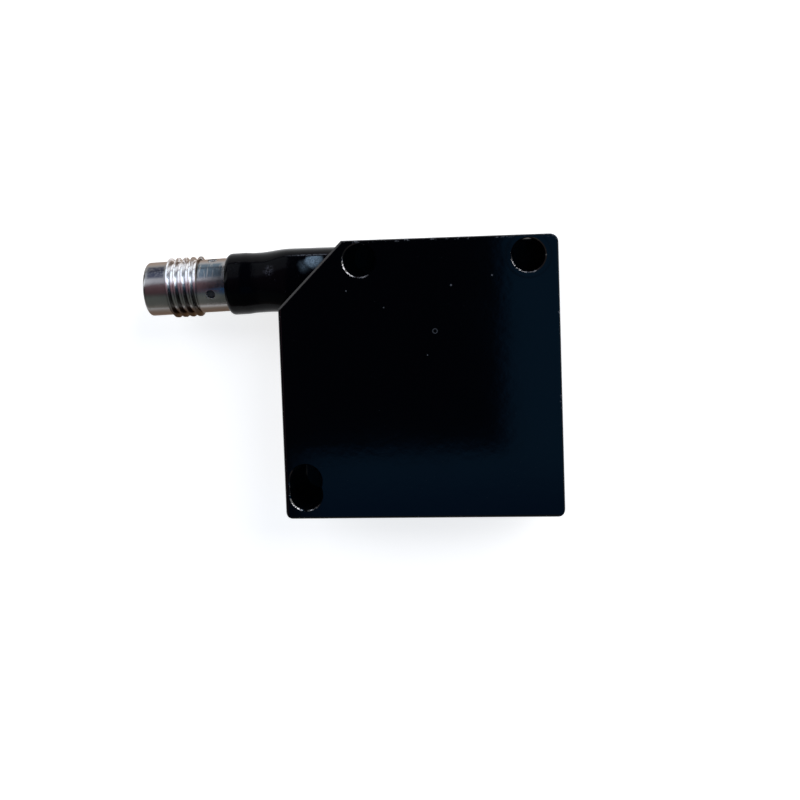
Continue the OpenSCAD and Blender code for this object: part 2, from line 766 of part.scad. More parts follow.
function unit(v) = v / norm(v);

// Direction of a path at point i, halfway between the runs that meet there
function heading(p, i) = unit((i > 0 ? unit(p[i] - p[i - 1]) : [0, 0, 0])
    + (i < len(p) - 1 ? unit(p[i + 1] - p[i]) : [0, 0, 0]));

// Ring of a wire at point i, square to the path and widened where the path bends
function wire_ring(p, i) = let (
        t = heading(p, i),
        run = unit(i > 0 ? p[i] - p[i - 1] : p[1] - p[0]),
        across = unit(cross(t, [0, 0, 1])),
        rise = cross(across, t))
    [for (k = [0:wire_sides - 1]) let (a = (k + 0.5) * 360 / wire_sides)
        p[i] + lead_d / 2 * (cos(a) * across / (t * run) + sin(a) * rise)];

// Wire through a list of points, as one closed skin
module wire(p) {
    n = wire_sides;
    last = (len(p) - 1) * n;
    polyhedron(
        points = [for (i = [0:len(p) - 1]) each wire_ring(p, i)],
        faces = concat(
            [[for (k = [n - 1:-1:0]) k]],
            [for (i = [0:len(p) - 2], k = [0:n - 1]) let (a = i * n + k, b = i * n + (k + 1) % n)
                each [[a, b, b + n], [a, b + n, a + n]]],
            [[for (k = [0:n - 1]) last + k]]));
}

// One lead: side is its place across the bend, level its place in height, slot its pad
module lead(side, level, pad) {
    u = side * lead_off;
    z = mid_z + level * lead_off;
    elbow_2d = [elbow[0], elbow[1]];
    start = elbow_2d - plug_in * pin_back_s + plug_side * side * pin_off;
    wire([flat_to_3d(start, mid_z + level * pin_off),
        flat_to_3d(start + plug_in * 0.3, mid_z + level * pin_off),
        flat_to_3d(elbow_2d - plug_in * (funnel_s - 0.4) + plug_side * u, z),
        flat_to_3d(elbow_2d + mitre_side * u, z),
        flat_to_3d(elbow_2d + cut_in * (spigot_l + 0.4) + cut_side * u, z),
        [lead_first_x + pad * lead_spread, lead_pad_y, board_z - lead_d / 2]]);
}

module lead_black() { color("#1a1a1c") lead(-1, -1, 0); }
module lead_blue() { color("#2c58a8") lead(-1, 1, 1); }
module lead_white() { color("#e6e4de") lead(1, -1, 2); }
module lead_brown() { color("#6a4228") lead(1, 1, 3); }

housing();
side_cover();
cover_seal();
front_window();
window_seal();
optics_carrier();
light_baffle();
emitter_lens();
receiver_lens();
emitter();
emitter_board();
receiver_chip();
receiver_board();
carrier_screws();
main_board();
processor();
output_driver();
capacitors();
indicator_lamp();
light_pipe();
receiver_flex();
emitter_flex();
board_screws();
boot();
boot_seal();
boot_clip();
lead_brown();
lead_white();
lead_blue();
lead_black();
plug_sleeve();
contact_carrier();
contact_pins();
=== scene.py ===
"""A slim optical sensor: black die-cast housing, moulded boot and a bright threaded plug."""

import math

import bpy
from mathutils import Matrix, Vector


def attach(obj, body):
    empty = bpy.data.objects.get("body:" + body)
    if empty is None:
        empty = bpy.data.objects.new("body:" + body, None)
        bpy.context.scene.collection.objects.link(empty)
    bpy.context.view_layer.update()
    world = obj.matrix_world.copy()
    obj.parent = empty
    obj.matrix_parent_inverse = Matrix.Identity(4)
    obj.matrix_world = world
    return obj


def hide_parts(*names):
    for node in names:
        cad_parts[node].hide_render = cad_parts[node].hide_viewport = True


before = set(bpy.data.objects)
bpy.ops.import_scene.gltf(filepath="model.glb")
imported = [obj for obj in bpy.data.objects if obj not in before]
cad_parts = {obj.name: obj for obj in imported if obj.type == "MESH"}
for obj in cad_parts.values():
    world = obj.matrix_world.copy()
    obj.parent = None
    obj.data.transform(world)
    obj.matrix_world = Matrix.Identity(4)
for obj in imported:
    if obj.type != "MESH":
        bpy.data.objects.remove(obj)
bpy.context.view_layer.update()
mm = 0.001

# Camera: it stands 13 cm above the plain face, near the edge with the two round holes, and looks
# down on it. The lens is shifted, so the sensor sits above and left of the picture's middle.
lens = bpy.data.cameras.new("camera")
lens.sensor_width = 36
lens.lens = 47.563
lens.shift_x = 0.02444
lens.shift_y = -0.12331
lens.clip_start = 0.01
camera = bpy.data.objects.new("camera", lens)
bpy.context.scene.collection.objects.link(camera)
camera.matrix_world = Matrix.Translation((9.185 * mm, 17.544 * mm, 142.411 * mm)) @ Matrix((
    (0.9941, -0.03562, -0.10249),
    (0.02933, 0.99763, -0.06223),
    (0.10446, 0.05886, 0.99279),
)).transposed().to_4x4()
bpy.context.scene.camera = camera
bpy.context.scene.view_settings.view_transform = "Standard"


# Room: tall soft windows on the side of the round holes, a dim wall opposite and a dark ceiling,
# laid out by the direction in which they are seen. Only reflections and light come from them; what
# lies behind the sensor is a plain pale backdrop.
class Field:
    """A value that varies over a surface or over the room. Sums and products add their nodes."""

    def __init__(self, wiring, socket):
        self.wiring = wiring
        self.socket = socket

    def combine(self, operation, first, second=0.0):
        return self.wiring.node("ShaderNodeMath", {"operation": operation}, {0: first, 1: second})

    def __add__(self, other):
        return self.combine("ADD", self, other)

    def __radd__(self, other):
        return self.combine("ADD", other, self)

    def __sub__(self, other):
        return self.combine("SUBTRACT", self, other)

    def __rsub__(self, other):
        return self.combine("SUBTRACT", other, self)

    def __mul__(self, other):
        return self.combine("MULTIPLY", self, other)

    def __rmul__(self, other):
        return self.combine("MULTIPLY", other, self)

    def __truediv__(self, other):
        return self.combine("DIVIDE", self, other)

    def __pow__(self, other):
        return self.combine("POWER", self, other)

    def __abs__(self):
        return self.combine("ABSOLUTE", self)

    def at_least(self, other):
        return self.combine("MAXIMUM", self, other)

    def at_most(self, other):
        return self.combine("MINIMUM", self, other)


class Wiring:
    """The nodes of one material or of the room."""

    def __init__(self, tree):
        self.tree = tree

    def node(self, kind, settings, sockets, output=0):
        made = self.tree.nodes.new(kind)
        for key, value in settings.items():
            if key == "stops":
                for spare in range(len(value) - 2):
                    made.color_ramp.elements.new(0.5)
                for element, (position, colour) in zip(made.color_ramp.elements, value):
                    element.position = position
                    element.color = (*colour, 1)
            else:
                setattr(made, key, value)
        for key, value in sockets.items():
            self.feed(made.inputs[key], value)
        return Field(self, made.outputs[output])

    def feed(self, socket, value):
        if isinstance(value, Field):
            self.tree.links.new(value.socket, socket)
        elif isinstance(value, tuple) and len(value) == 3 and socket.type == "RGBA":
            socket.default_value = (*value, 1)
        else:
            socket.default_value = value

    def parts(self, vector):
        return [self.node("ShaderNodeSeparateXYZ", {}, {0: vector}, axis) for axis in "XYZ"]

    def step(self, value, low, high):
        return self.node("ShaderNodeMapRange", {"interpolation_type": "SMOOTHSTEP"},
                         {0: value, 1: low, 2: high})

    def mix(self, factor, first, second):
        return self.node("ShaderNodeMix", {"data_type": "RGBA"}, {0: factor, 6: first, 7: second}, 2)


room = bpy.data.worlds.new("room")
room.use_nodes = True
bpy.context.scene.world = room
air = Wiring(room.node_tree)
across, beside, up = air.parts(air.node("ShaderNodeTexCoord", {}, {}, "Generated"))
tilt = air.node("ShaderNodeMath", {"operation": "ARCTAN2"}, {0: beside, 1: up}) * (180 / math.pi)

# The plug mirrors this slice of the room, from the dim wall over the ceiling to the window. The
# stops are angles from straight up.
slice_stops = [
    (-95, (0.5, 0.44, 0.4)), (-84, (0.42, 0.38, 0.34)), (-74, (0.3, 0.31, 0.29)),
    (-34, (0.24, 0.27, 0.255)), (-26, (0.16, 0.14, 0.14)), (-14, (0.21, 0.11, 0.13)),
    (18, (0.38, 0.23, 0.27)), (24, (0.6, 0.55, 0.65)), (30, (1.3, 1.3, 1.5)),
    (80, (1.3, 1.42, 1.55)), (87, (0.24, 0.2, 0.25)), (93, (0.24, 0.2, 0.22)),
]
ramp_stops = [((angle + 180) / 360, colour) for angle, colour in slice_stops]
plug_slice = air.node("ShaderNodeValToRGB", {"stops": ramp_stops}, {0: tilt / 360 + 0.5})
shade = (1 - air.step(across, 0.004, 0.02)) * air.step(beside, -0.208, -0.192)
shade = shade.at_least(1 - air.step(across, -0.2, -0.16))
ceiling = air.mix(air.step(beside, -0.26, -0.2), (0.02, 0.1, 0.26), (0.045, 0.185, 0.38))
ceiling = air.mix(shade, ceiling, (0.001, 0.0015, 0.003))
wall = air.mix(1 - air.step(tilt, -42, -30), ceiling, (0.12, 0.13, 0.125))
horizon = air.mix(1 - air.step(up, 0.06, 0.16), wall, (0.26, 0.22, 0.22))
sash = air.step(tilt, 18, 24) * (1 - air.step(tilt, 78, 86))
window = air.mix(sash * air.step(across, 0.28, 0.36), horizon, (4, 3.95, 3.9))
window = air.mix((1 - air.step(across, -0.235, -0.22)) * air.step(across, -0.64, -0.56), window, plug_slice)
wide = air.step(tilt, 18, 24) * (1 - air.step(tilt, 50, 60)) * (1 - air.step(across, -0.6, -0.5))
lit_room = air.mix(wide, window, (3.1, 3.3, 3.5))
seen_directly = air.node("ShaderNodeLightPath", {}, {})
backdrop = room.node_tree.nodes["Background"]
air.feed(backdrop.inputs["Color"], air.mix(seen_directly, lit_room, (0.9, 0.9, 0.9)))


# Housing: a zinc die casting, stove-enamelled in gloss black. The enamel is rubbed through at the
# holes' mouths, where screws sat, and worn along the cut corner. Handling has left dust and nicks.
class Finish(Wiring):
    """A surface finish on one principled shader, with places in millimetres."""

    def __init__(self, name, **constants):
        self.material = bpy.data.materials.new(name)
        self.material.use_nodes = True
        super().__init__(self.material.node_tree)
        self.shader = self.tree.nodes["Principled BSDF"]
        for key, value in constants.items():
            self.shader.inputs[key.replace("_", " ")].default_value = value
        objects = self.node("ShaderNodeTexCoord", {}, {}, "Object")
        self.here = self.node("ShaderNodeVectorMath", {"operation": "SCALE"}, {0: objects, "Scale": 1000})
        self.x, self.y, self.z = self.parts(self.here)

    def vary(self, name, value):
        self.feed(self.shader.inputs[name], value)

    def noise(self, size, detail=2.0, roughness=0.5, where=None):
        return self.node("ShaderNodeTexNoise", {}, {"Vector": where or self.here, "Scale": 1 / size,
                                                    "Detail": detail, "Roughness": roughness})

    def bump(self, height, distance):
        return self.node("ShaderNodeBump", {}, {"Height": height, "Distance": distance * mm, "Strength": 1.0})

    def stretched(self, factors):
        return self.node("ShaderNodeVectorMath", {"operation": "MULTIPLY"}, {0: self.here, 1: factors})

    def away(self, x, y, half_length=0.0):
        """Distance in the plan from a point, or from an upright line of a given half length."""
        beside = (abs(self.y - y) - half_length).at_least(0)
        return ((self.x - x) ** 2 + beside ** 2) ** 0.5

    def band(self, value, middle, half_width):
        """One on a line, falling to nothing at half a width from it."""
        return 1 - self.step(abs(value - middle), half_width * 0.55, half_width)

    def dress(self, *nodes):
        for name in nodes:
            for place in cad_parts[name].material_slots:
                place.material = self.material


half_body = 17.5
cut_line = 26.7
enamel = Finish("black_enamel", Metallic=0.0, IOR=1.4)
cloud = enamel.noise(7, 3)
fine = enamel.noise(0.32, 3, 0.6)
face = enamel.step(enamel.z, 12.05, 12.25)
wear = 0.0
mouths = ((-7.0, 15.0, 0.0, 0.47), (13.85, 15.0, 0.0, 0.49), (-14.8, -13.45, 0.85, 0.53))
for x, y, half_length, amount in mouths:
    gap = enamel.away(x, y, half_length)
    lower = enamel.step((enamel.y - y) * -0.8 - (enamel.x - x) * 0.6, 0.7, 1.5 + half_length)
    wear = enamel.band(gap, 2.13, 0.09) * lower * enamel.step(fine, amount, amount + 0.07) + wear
wear = (wear * face).at_most(1)
cut_gap = (enamel.y - enamel.x - cut_line) * math.sqrt(0.5)
rubbed = enamel.band(cut_gap, -0.14, 0.24) * (0.35 + 0.65 * enamel.step(fine, 0.35, 0.6))
rubbed = rubbed * enamel.step(enamel.z, 11.9, 12.1)
rim = half_body - abs(enamel.x).at_least(abs(enamel.y))
back_edge = enamel.step(enamel.y, 16.6, 17) * 0.07
nicks = enamel.step(enamel.noise(0.5, 3, 0.6) + back_edge, 0.65, 0.72) * enamel.step(enamel.z, 11.8, 12)
nicks = nicks + 1 - enamel.step(enamel.away(17.05, 17.1), 0.2, 0.45)
nicks = nicks * (1 - enamel.step(rim, 0.1, 0.45))
dust = enamel.step(enamel.noise(0.13, 2, 0.6), 0.735, 0.79) * enamel.step(cloud, 0.48, 0.7)
specks = (
    (-4.12, 9.06, 0.1), (4.29, 11.59, 0.16), (9.34, 12.66, 0.14), (-8.75, 11.25, 0.12), (1.12, 3.02, 0.1),
)
for x, y, size in specks:
    dust = (1 - enamel.step(enamel.away(x, y), size * 0.6, size)) * 0.9 + dust
dust = (enamel.band(enamel.away(2.14, 5.97), 0.28, 0.08) * 0.5 + dust).at_most(1) * face
seat = enamel.band(enamel.away(13.85, 15.0), 2.78, 0.16) * 0.5
tone = enamel.mix((dust + nicks).at_most(1), (0.0007, 0.0009, 0.0016), (0.07, 0.075, 0.085))
tone = enamel.mix(rubbed, tone, (0.008, 0.0065, 0.0075))
enamel.vary("Base Color", enamel.mix(wear, tone, (0.36, 0.36, 0.38)))
enamel.vary("Metallic", wear)
dullness = 0.045 + cloud * 0.05 + seat * 0.2 + rubbed * 0.12 + dust * 0.4 + wear * 0.2
enamel.vary("Roughness", dullness.at_most(1))
enamel.vary("Normal", enamel.bump(enamel.noise(1.1, 2) + fine * wear * 3, 0.003))
enamel.dress("housing")

# Side cover: a punched steel plate with a satin black coat, seated in the housing's ledge. It
# closes the housing from below, over a bead of grey compound.
satin = Finish("satin_coat", Metallic=0.0, IOR=1.5)
satin.vary("Base Color", satin.mix(satin.noise(4, 3), (0.010, 0.011, 0.013), (0.016, 0.017, 0.019)))
satin.vary("Roughness", 0.38 + satin.noise(2.2, 3) * 0.14)
satin.vary("Normal", satin.bump(satin.noise(0.25, 2), 0.006))
satin.dress("side_cover")

compound = Finish("sealing_compound", Metallic=0.0)
grey = compound.mix(compound.noise(1.5, 3), (0.03, 0.031, 0.033), (0.055, 0.057, 0.06))
compound.vary("Base Color", grey)
compound.vary("Roughness", 0.55 + compound.noise(0.8, 2) * 0.2)
compound.vary("Normal", compound.bump(compound.noise(0.3, 3), 0.015))
compound.dress("cover_seal", "window_seal")

# Front window: a dark red tinted pane, polished, bonded into its recess on a thin bead.
pane = Finish("tinted_pane", Metallic=0.0, IOR=1.49, Transmission_Weight=0.9)
pane.vary("Base Color", pane.mix(pane.noise(6, 2), (0.42, 0.03, 0.045), (0.5, 0.04, 0.055)))
pane.vary("Roughness", 0.04 + pane.noise(3, 3) * 0.06)
pane.dress("front_window")


# Optics: a matt black moulded carrier with both light paths, a thin baffle between them, and two
# clear lenses pressed into their seats.
def moulded(name, dark, light, roughness, grain=0.25, depth=0.008):
    """A moulded finish: two close tones and a fine grain."""
    finish = Finish(name, Metallic=0.0)
    finish.vary("Base Color", finish.mix(finish.noise(3, 3), dark, light))
    finish.vary("Roughness", roughness + finish.noise(1.1, 2) * 0.12)
    finish.vary("Normal", finish.bump(finish.noise(grain, 2), depth))
    return finish


matt = moulded("matt_moulding", (0.012, 0.012, 0.013), (0.022, 0.022, 0.024), 0.6)
matt.dress("optics_carrier", "light_baffle")
clear = Finish("clear_lens", Metallic=0.0, IOR=1.49, Transmission_Weight=0.9)
clear.vary("Base Color", clear.mix(clear.noise(4, 2), (0.86, 0.93, 0.96), (0.9, 0.95, 0.97)))
clear.vary("Roughness", 0.02 + clear.noise(2, 2) * 0.03)
clear.dress("emitter_lens", "receiver_lens")


# Emitter, receiver and their boards: a gold-plated can with three legs, a detector under clear
# resin, and glass-fibre boards with a green mask that shows the weave.
def plated(name, dark, light, roughness, grain=0.3, depth=0.004):
    """A plated or bare metal finish: two close tones and fine marks."""
    finish = Finish(name, Metallic=1.0)
    finish.vary("Base Color", finish.mix(finish.noise(2, 3), dark, light))
    finish.vary("Roughness", roughness + finish.noise(0.7, 3) * 0.14)
    finish.vary("Normal", finish.bump(finish.noise(grain, 2), depth))
    return finish


plated("gold_plate", (0.68, 0.5, 0.22), (0.8, 0.62, 0.3), 0.18).dress("emitter", "contact_pins")
moulded("detector_resin", (0.03, 0.035, 0.05), (0.06, 0.07, 0.1), 0.12, 0.6).dress("receiver_chip")
mask = Finish("board_mask", Metallic=0.0, IOR=1.5)
weave = mask.node("ShaderNodeTexChecker", {}, {"Vector": mask.here, "Scale": 2.2}, "Fac")
weave = weave * 0.4 + mask.noise(2, 2) * 0.4
mask.vary("Base Color", mask.mix(weave, (0.01, 0.09, 0.035), (0.02, 0.15, 0.06)))
mask.vary("Roughness", 0.3 + mask.noise(1.2, 2) * 0.12)
mask.dress("main_board", "emitter_board", "receiver_board")

# What the main board carries, and the small hardware: moulded packages, satin capacitors, the lamp
# with its clear pipe to the cable side, two amber strips that link the boards, zinc-plated screws
# and clip, and the boot's O-ring.
package = moulded("package", (0.02, 0.02, 0.022), (0.032, 0.032, 0.035), 0.5, 0.15)
package.dress("processor", "output_driver")
plated("satin_can", (0.45, 0.47, 0.49), (0.58, 0.6, 0.62), 0.35).dress("capacitors")
moulded("lamp_package", (0.72, 0.66, 0.48), (0.84, 0.79, 0.6), 0.25).dress("indicator_lamp")
pipe = Finish("clear_pipe", Metallic=0.0, IOR=1.49, Transmission_Weight=0.5)
pipe.vary("Base Color", pipe.mix(pipe.noise(1.5, 2), (0.6, 0.66, 0.62), (0.74, 0.79, 0.75)))
pipe.vary("Roughness", 0.12 + pipe.noise(0.6, 2) * 0.1)
pipe.dress("light_pipe")
amber = moulded("amber_film", (0.4, 0.16, 0.035), (0.52, 0.24, 0.06), 0.22, 0.8)
amber.dress("receiver_flex", "emitter_flex")
zinc = plated("zinc_plate", (0.42, 0.42, 0.43), (0.58, 0.58, 0.59), 0.26)
zinc.dress("carrier_screws", "board_screws", "boot_clip")
moulded("nitrile", (0.014, 0.014, 0.015), (0.022, 0.022, 0.024), 0.5).dress("boot_seal")

# Leads: four stranded wires in coloured insulation, from the contact pins through the boot to
# their pads on the main board.
moulded("brown_insulation", (0.12, 0.045, 0.018), (0.17, 0.07, 0.03), 0.4).dress("lead_brown")
moulded("white_insulation", (0.74, 0.73, 0.69), (0.84, 0.83, 0.79), 0.4).dress("lead_white")
moulded("blue_insulation", (0.015, 0.07, 0.3), (0.03, 0.1, 0.4), 0.4).dress("lead_blue")
moulded("black_insulation", (0.012, 0.012, 0.013), (0.02, 0.02, 0.022), 0.4).dress("lead_black")

# Boot: a glossy black elastomer elbow, moulded on. Its root is a crowned square, mitred to the cut
# corner, that turns into a round neck with a rounded end. A spigot below it enters the housing.
elbow_x, elbow_y, axis_z = -14.1, 12.6, 6.2
elbow = Vector((elbow_x, elbow_y, axis_z)) * mm
droop = math.radians(1.7)
seat_s = 9.25
to_elbow = Matrix.Translation(elbow)
along_plug = to_elbow @ Matrix.Rotation(droop, 4, "Z") @ Matrix.Rotation(-math.pi / 2, 4, "Y")
through_cut = to_elbow @ Matrix.Rotation(-math.pi / 4, 4, "Z") @ Matrix.Rotation(math.pi / 2, 4, "Y")


def fresh():
    """Leaves edit mode and selects nothing."""
    if bpy.context.mode != "OBJECT":
        bpy.ops.object.mode_set(mode="OBJECT")
    bpy.ops.object.select_all(action="DESELECT")


def turned(outline, sides, closed=True):
    """Turns an outline of (radius, height) points about the upright axis, into a ring if closed."""
    fresh()
    radius, height = outline[0]
    bpy.ops.mesh.primitive_circle_add(vertices=sides, radius=radius * mm, location=(0, 0, height * mm))
    bpy.ops.object.transform_apply(location=True)
    bpy.ops.object.mode_set(mode="EDIT")
    if not closed:
        bpy.ops.mesh.edge_face_add()
    for next_radius, next_height in outline[1:] + (outline[:1] if closed else []):
        rise = (next_height - height) * mm
        bpy.ops.mesh.extrude_region_move(TRANSFORM_OT_translate={"value": (0, 0, rise)})
        if next_radius != radius:
            ratio = next_radius / radius
            bpy.ops.transform.resize(value=(ratio, ratio, 1))
        radius, height = next_radius, next_height
    bpy.ops.mesh.select_all(action="SELECT")
    bpy.ops.mesh.remove_doubles(threshold=1e-6)
    bpy.ops.mesh.normals_make_consistent(inside=False)
    bpy.ops.object.mode_set(mode="OBJECT")
    return bpy.context.object


def rounded(radius, height, corner, out, up, steps=4):
    """Points of a rounded corner; out and up point from its middle towards the edge."""
    middle = (radius - out * corner, height - up * corner)
    turns = [i * math.pi / 2 / steps for i in range(steps + 1)]
    return [(middle[0] + out * corner * math.cos(a), middle[1] + up * corner * math.sin(a)) for a in turns]


def placed(piece, matrix):
    """Moves a piece drawn at the origin to its place, and leaves the place in its mesh."""
    fresh()
    piece.matrix_world = matrix
    piece.select_set(True)
    bpy.context.view_layer.objects.active = piece
    bpy.ops.object.transform_apply(location=True, rotation=True, scale=True)
    return piece


def drilled(piece, drill):
    """Cuts one piece with another, which is used up."""
    cut = piece.modifiers.new("cut", "BOOLEAN")
    cut.object = drill
    cut.solver = "EXACT"
    fresh()
    bpy.context.view_layer.objects.active = piece
    bpy.ops.object.modifier_apply(modifier="cut")
    bpy.data.objects.remove(drill)


def eased(low, high, value):
    """Runs smoothly from 0 at one value to 1 at the other."""
    t = min(max((value - low) / (high - low), 0), 1)
    return t * t * (3 - 2 * t)


def boot_size(s):
    """Half width of the boot at a distance from the elbow."""
    return 4.14 - 0.2 * eased(2.4, 6.4, s) + 0.1 * eased(7.2, 8.6, s)


stations = [-4.6, 0, 2.2] + [2.5 + 0.3 * i for i in range(22)] + [9.3, 9.8, 10.12]
outline = [(boot_size(s), s) for s in stations]
rim_angles = [math.radians(a) for a in (10, 22, 34, 46, 58, 68, 73)]
outline += [(3.34 + 0.7 * math.cos(a), 10.14 + 0.7 * math.sin(a)) for a in rim_angles]
outline += [(3.55, 10.7), (3.55, seat_s), (2.3, seat_s), (1.6, 7.85), (1.6, 1.95)]
boot = turned(outline, 96, closed=False)
bpy.ops.object.mode_set(mode="EDIT")
bpy.ops.mesh.select_all(action="DESELECT")
bpy.ops.mesh.select_non_manifold()
bpy.ops.mesh.edge_face_add()
bpy.ops.mesh.select_all(action="SELECT")
bpy.ops.mesh.normals_make_consistent(inside=False)
bpy.ops.object.mode_set(mode="OBJECT")
for corner in boot.data.vertices:
    s = corner.co.z / mm
    reach = math.hypot(corner.co.x, corner.co.y) / mm
    if reach < 3.3 and s > 1.5:
        continue
    squareness = 1 - eased(2.2, 6.6, s)
    power = 2 + 0.75 * squareness
    c, q = corner.co.x / mm / reach, corner.co.y / mm / reach
    swell = (abs(c) ** power + abs(q) ** power) ** (-1 / power)
    corner.co.x *= swell
    corner.co.y = corner.co.y * swell + s * math.sin(droop) * squareness * mm
boot.data.update()
placed(boot, along_plug)
bpy.ops.object.mode_set(mode="EDIT")
bpy.ops.mesh.select_all(action="SELECT")
bpy.ops.mesh.bisect(plane_co=elbow, plane_no=(-1, 1, 0), use_fill=True, clear_inner=True)
bpy.ops.object.mode_set(mode="OBJECT")
for matrix, start, end in ((along_plug, -0.3, 2.2), (through_cut, -0.3, 5)):
    bpy.ops.mesh.primitive_cylinder_add(vertices=32, radius=1.6 * mm, depth=(end - start) * mm,
                                        location=(0, 0, (end + start) / 2 * mm))
    drill = bpy.context.object
    bpy.ops.object.transform_apply(location=True)
    drilled(boot, placed(drill, matrix))
spigot_outline = [
    (1.6, 0.02), (2.4, 0.02), (2.4, 1.53), (2.1, 1.53), (2.1, 2.07), (2.4, 2.07), (2.4, 2.7), (1.6, 2.7),
]
spigot = placed(turned(spigot_outline, 48), through_cut)
fresh()
spigot.select_set(True)
boot.select_set(True)
bpy.context.view_layer.objects.active = boot
bpy.ops.object.join()
bpy.ops.object.shade_smooth_by_angle(angle=math.radians(32))

rubber = Finish("glossy_elastomer", Metallic=0.0, IOR=1.12)
lumps = rubber.noise(1.6, 3)
speckle = rubber.noise(0.22, 3, 0.65)
above = rubber.step(rubber.z, 8.6, 9.2)
# Scuffs: light grey speckles on top of the boot. The spot near the shoulder at (-18.95, 14.05) is a painted
# highlight, a light patch in place of a reflection.
scuffs_and_painted_highlight = rubber.step(speckle, 0.64, 0.72) * rubber.step(rubber.noise(1.7, 2), 0.54, 0.64)
scuffs_and_painted_highlight = scuffs_and_painted_highlight + (1 - rubber.step(rubber.away(-18.95, 14.05), 0.25, 0.9)) * rubber.step(speckle, 0.42, 0.62)
wander = lumps * 1.4 + speckle * 0.8 - 1.1
# Painted reflection: a soft bluish-white patch on the boot's root near the cut corner, with a tail to its
# left, painted into the base colour in place of a reflection of the window.
painted_reflection = 1 - rubber.step(rubber.away(-13.1, 15.1) + wander, 0.45, 1.15)
painted_reflection = painted_reflection + (1 - rubber.step(rubber.away(-14.3, 14.35) + wander, 0.2, 1.1)) * 0.3
painted_reflection = painted_reflection * (0.4 + 0.6 * rubber.step(speckle, 0.4, 0.6)) * above
painted_reflection = painted_reflection * (1 - rubber.step(rubber.y, 15.6, 15.75))
# Painted highlight: a thin light line along the crown of the boot's root, near its +y edge, in place of an
# edge highlight.
painted_edge_highlight = rubber.band(rubber.y, 15.84, 0.09) * rubber.step(rubber.x, -17.2, -14.4)
painted_edge_highlight = painted_edge_highlight * rubber.step(speckle, 0.38, 0.55) * above
skin = rubber.mix(scuffs_and_painted_highlight.at_most(1) * above, (0.0006, 0.0007, 0.0014), (0.03, 0.031, 0.04))
skin = rubber.mix(painted_edge_highlight * 0.6, skin, (0.09, 0.1, 0.12))
rubber.vary("Base Color", rubber.mix(painted_reflection.at_most(1), skin, (0.14, 0.2, 0.26)))
rubber.vary("Roughness", 0.07 + rubber.noise(1.2, 3) * 0.09)
rubber.vary("Normal", rubber.bump(lumps + rubber.noise(0.4, 3) * 0.25, 0.02))
boot.name = "boot_moulding"
boot.data.materials.clear()
boot.data.materials.append(rubber.material)
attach(boot, "root")
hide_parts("boot")

# Contact carrier: a black nylon insulator in the plug's bore, which holds the four pins.
moulded("contact_nylon", (0.016, 0.016, 0.017), (0.026, 0.026, 0.028), 0.45).dress("contact_carrier")

# Plug sleeve: turned brass with a nickel plate, an M8 x 1 thread, a smooth mouth and four radial
# holes in the neck. Its axis leaves the elbow and hangs 1.7 degrees off the housing's side.
front_s = 21.6
thread_start = 18.5
thread_end = 14.5
crest_r = 3.94
root_r = 3.37
bore_r = 2.9
rear_r = 3.5
lock_s = 12.7
lock_turn = -18

shell = turned([
    (bore_r, seat_s), (bore_r, front_s - 0.2), (bore_r + 0.2, front_s),
    *reversed(rounded(3.53, front_s, 0.35, 1, 1)),
    (3.53, thread_start), (root_r, thread_start - 0.16), (root_r, thread_end + 0.13),
    (rear_r, thread_end), *rounded(rear_r, seat_s, 0.1, 1, -1),
], 128)
for turn in range(4):
    angle = math.radians(lock_turn + 90 * turn)
    bpy.ops.mesh.primitive_cylinder_add(
        vertices=32, radius=0.625 * mm, depth=3 * mm, rotation=(0, math.pi / 2, angle),
        location=(3.2 * mm * math.cos(angle), 3.2 * mm * math.sin(angle), lock_s * mm))
    drilled(shell, bpy.context.object)

# The thread is one ridge wound on the root at a pitch of 1 mm, right-handed, with 60 degree flanks
# and a narrow flat crest, cut off square at both ends of the thread.
fresh()
bpy.ops.mesh.primitive_plane_add(size=1 * mm, location=(3.6 * mm, 0, 0), rotation=(math.pi / 2, 0, 0))
ridge = bpy.context.object
bpy.ops.object.transform_apply(location=True, rotation=True)
for corner in ridge.data.vertices:
    outer = corner.co.x > 3.6 * mm
    corner.co.x = (crest_r if outer else root_r - 0.05) * mm
    corner.co.z = (thread_end - 1.25) * mm + corner.co.z * (0.18 if outer else 0.8)
ridge.data.update()
bpy.ops.object.mode_set(mode="EDIT")
bpy.ops.mesh.select_all(action="SELECT")
bpy.ops.mesh.delete(type="ONLY_FACE")
bpy.ops.object.mode_set(mode="OBJECT")
winding = ridge.modifiers.new("winding", "SCREW")
winding.axis = "Z"
winding.angle = 2 * math.pi
winding.screw_offset = 1 * mm
winding.iterations = 7
winding.steps = winding.render_steps = 96
bpy.ops.object.modifier_apply(modifier="winding")
bpy.ops.object.mode_set(mode="EDIT")
bpy.ops.mesh.select_all(action="SELECT")
bpy.ops.mesh.bisect(plane_co=(0, 0, thread_start * mm), plane_no=(0, 0, 1), use_fill=True, clear_outer=True)
bpy.ops.mesh.select_all(action="SELECT")
bpy.ops.mesh.bisect(plane_co=(0, 0, thread_end * mm), plane_no=(0, 0, 1), use_fill=True, clear_inner=True)
bpy.ops.mesh.select_all(action="SELECT")
bpy.ops.mesh.normals_make_consistent(inside=False)
bpy.ops.object.mode_set(mode="OBJECT")

# Nickel plate, tarnished at random, and with painted light: a painted highlight on the thread, painted
# reflections on the flanks, painted shade in the highlight band and a painted glint in the lock holes.
nickel = Finish("worn_nickel_with_painted_light", Metallic=1.0, Specular_Tint=(0.55, 0.47, 0.42, 1))
out_x = (nickel.x - elbow_x) * -math.cos(droop) + (nickel.y - elbow_y) * -math.sin(droop)
side = (nickel.x - elbow_x) * -math.sin(droop) + (nickel.y - elbow_y) * math.cos(droop)
tarnish = nickel.noise(1.4, 4, 0.6)
blotch = nickel.noise(0.3, 3, 0.6)
streaks = nickel.noise(0.22, 2, 0.6, nickel.stretched((1, 0.12, 0.12)))
